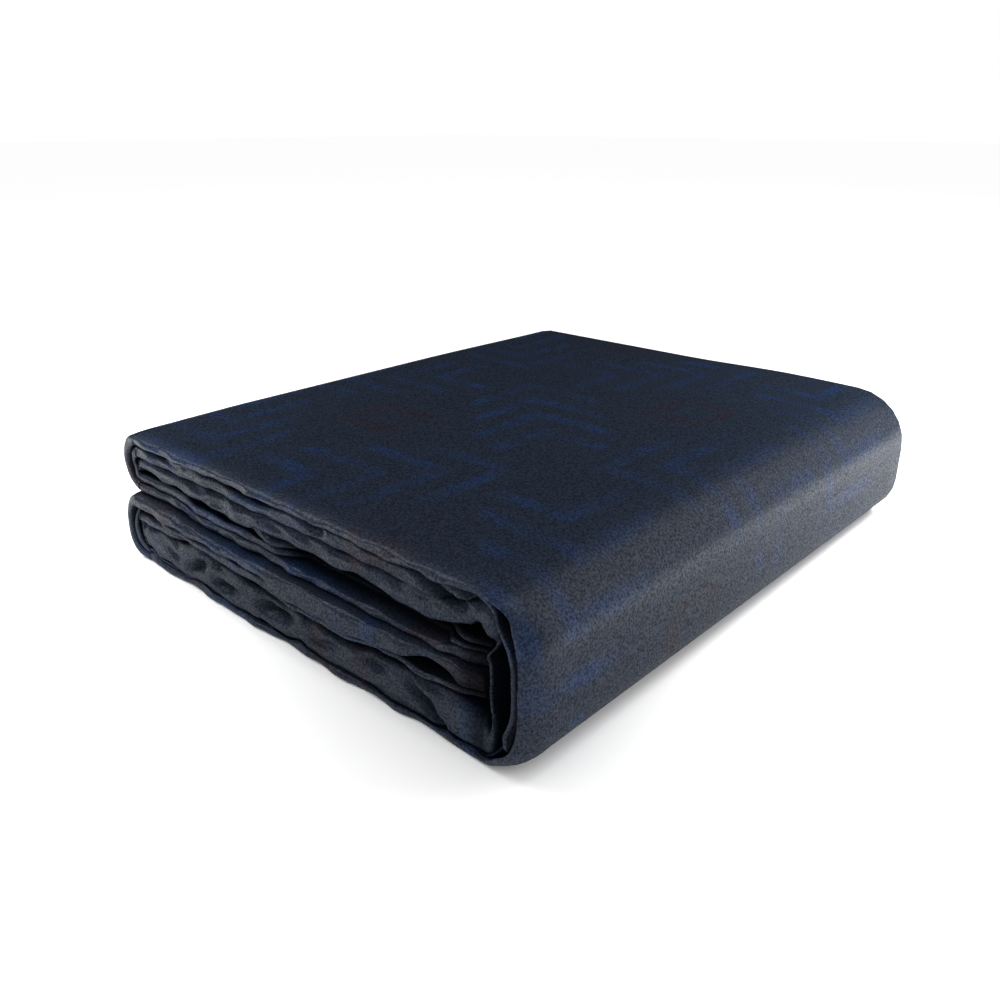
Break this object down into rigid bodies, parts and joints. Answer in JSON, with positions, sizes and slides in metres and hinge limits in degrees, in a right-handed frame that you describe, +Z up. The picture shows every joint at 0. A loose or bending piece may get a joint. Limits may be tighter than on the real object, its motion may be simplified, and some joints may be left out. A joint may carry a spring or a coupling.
{
  "type": "folded comforter",
  "caption": "Light quilted comforter folded flat for a shelf, hems in front, small folds at one end and a big round fold at the other.",
  "frame": {"origin": "middle of the base of the folded stack", "axes": "+Z up, +X from the two small folds to the big round fold, +Y from the hems to the back folds"},
  "size_m": [0.445, 0.538, 0.116],
  "materials": {
    "sateen": "dark navy woven sateen with a soft sheen and a faint blue nested-corner pattern"
  },
  "bodies": {
    "root": {"comforter": "sateen"}
  },
  "joints": []
}
